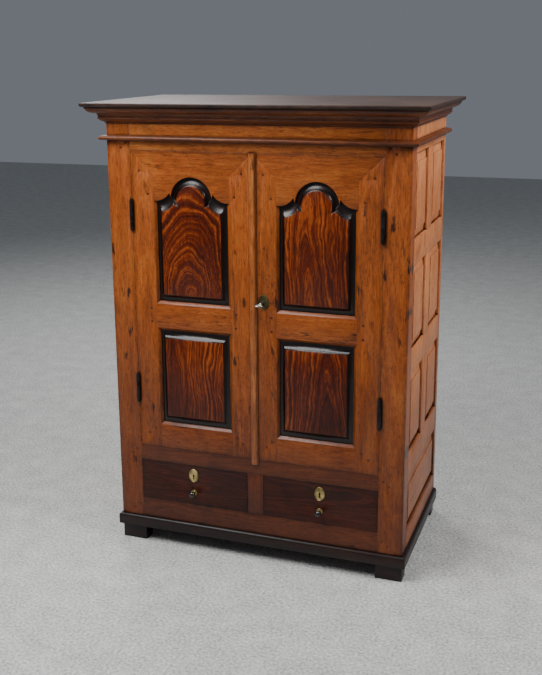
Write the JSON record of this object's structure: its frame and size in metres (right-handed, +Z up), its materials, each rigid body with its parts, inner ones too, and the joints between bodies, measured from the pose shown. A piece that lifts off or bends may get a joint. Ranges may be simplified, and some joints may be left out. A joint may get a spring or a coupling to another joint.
{
  "type": "two-door cupboard",
  "caption": "Antique wooden cupboard: panelled doors under a moulded cornice, with shelves behind, drawers below them and a key in the door.",
  "frame": {"origin": "on the floor, under the middle of the whole box", "axes": "+Z up, front faces -Y, +X to the right of someone who stands in front"},
  "size_m": [0.962, 0.5436, 1.3],
  "materials": {
    "front_wood": "waxed, warm orange brown",
    "side_wood": "waxed, reddish brown",
    "top_wood": "polished, dark brown",
    "base_wood": "dark stained",
    "inner_wood": "bare, aged",
    "rosewood": "polished rosewood",
    "drawer_wood": "polished dark rosewood",
    "ebony": "polished black",
    "iron": "old black iron",
    "brass": "aged brass",
    "key_steel": "worn steel"
  },
  "bodies": {
    "carcass": {"back_boards": "inner_wood", "back_posts": "front_wood", "back_rails": "inner_wood", "base_moulding": "base_wood", "bottom_rail": "front_wood", "cornice": "top_wood", "cupboard_floor": "inner_wood", "door_stop": "inner_wood", "drawer_muntin": "front_wood", "drawer_runners": "inner_wood", "feet": "base_wood", "frame_pegs": "front_wood", "hinge_frame_leaves": "iron", "hinge_pins": "iron", "middle_rail": "front_wood", "post_front_left": "front_wood", "post_front_right": "front_wood", "shelf_cleats": "inner_wood", "shelves": "inner_wood", "side_frame_left": "side_wood", "side_frame_right": "side_wood", "side_panels_left": "side_wood", "side_panels_right": "side_wood", "top_board": "top_wood", "top_rail": "front_wood", "waist_moulding": "top_wood"},
    "left_door": {"left_door_bolt_plate": "iron", "left_door_hinge_leaves": "iron", "left_door_lock_keep": "iron", "left_door_lower_panel": "rosewood", "left_door_pegs": "front_wood", "left_door_rails": "front_wood", "left_door_stiles": "front_wood", "left_door_top_rail": "front_wood", "left_door_upper_panel": "rosewood"},
    "right_door": {"right_door_escutcheon": "brass", "right_door_hinge_leaves": "iron", "right_door_lock_case": "iron", "right_door_lower_panel": "rosewood", "right_door_meeting_strip": "front_wood", "right_door_pegs": "front_wood", "right_door_rails": "front_wood", "right_door_stiles": "front_wood", "right_door_top_rail": "front_wood", "right_door_upper_panel": "rosewood"},
    "left_drawer": {"left_drawer_box": "inner_wood", "left_drawer_escutcheon": "brass", "left_drawer_front": "drawer_wood", "left_drawer_knob": "ebony", "left_drawer_lock": "iron"},
    "right_drawer": {"right_drawer_box": "inner_wood", "right_drawer_escutcheon": "brass", "right_drawer_front": "drawer_wood", "right_drawer_knob": "ebony", "right_drawer_lock": "iron"},
    "door_key": {"right_door_key": "key_steel"},
    "lock_bolt": {"right_door_lock_bolt": "iron"},
    "foot_bolt": {"left_door_foot_bolt": "iron"},
    "left_drawer_bolt": {"left_drawer_bolt": "iron"},
    "right_drawer_bolt": {"right_drawer_bolt": "iron"}
  },
  "joints": [
    {"name": "right_door_swing", "type": "hinge", "parent": "carcass", "child": "right_door", "pos_m": [0.3576, -0.22255, 0.7375], "axis": [0, 0, 1], "range_deg": [0, 170]},
    {"name": "left_door_swing", "type": "hinge", "parent": "carcass", "child": "left_door", "pos_m": [-0.3576, -0.22255, 0.7375], "axis": [0, 0, -1], "range_deg": [0, 170]},
    {"name": "key_turn", "type": "hinge", "parent": "right_door", "child": "door_key", "pos_m": [0.03, -0.21725, 0.768], "axis": [0, 1, 0], "range_deg": [0, 180]},
    {"name": "lock_bolt_slide", "type": "slide", "parent": "right_door", "child": "lock_bolt", "axis": [-1, 0, 0], "range_m": [0, 0.018]},
    {"name": "foot_bolt_slide", "type": "slide", "parent": "left_door", "child": "foot_bolt", "axis": [0, 0, -1], "range_m": [0, 0.012]},
    {"name": "left_drawer_slide", "type": "slide", "parent": "carcass", "child": "left_drawer", "axis": [0, -1, 0], "range_m": [0, 0.33]},
    {"name": "right_drawer_slide", "type": "slide", "parent": "carcass", "child": "right_drawer", "axis": [0, -1, 0], "range_m": [0, 0.33]},
    {"name": "left_drawer_bolt_slide", "type": "slide", "parent": "left_drawer", "child": "left_drawer_bolt", "axis": [0, 0, 1], "range_m": [0, 0.008]},
    {"name": "right_drawer_bolt_slide", "type": "slide", "parent": "right_drawer", "child": "right_drawer_bolt", "axis": [0, 0, 1], "range_m": [0, 0.008]}
  ],
  "couplings": [
    {"joint": "left_door_swing", "follows": "right_door_swing", "ratio": 1},
    {"joint": "lock_bolt_slide", "follows": "key_turn", "m_per_rad": 0.00509}
  ]
}
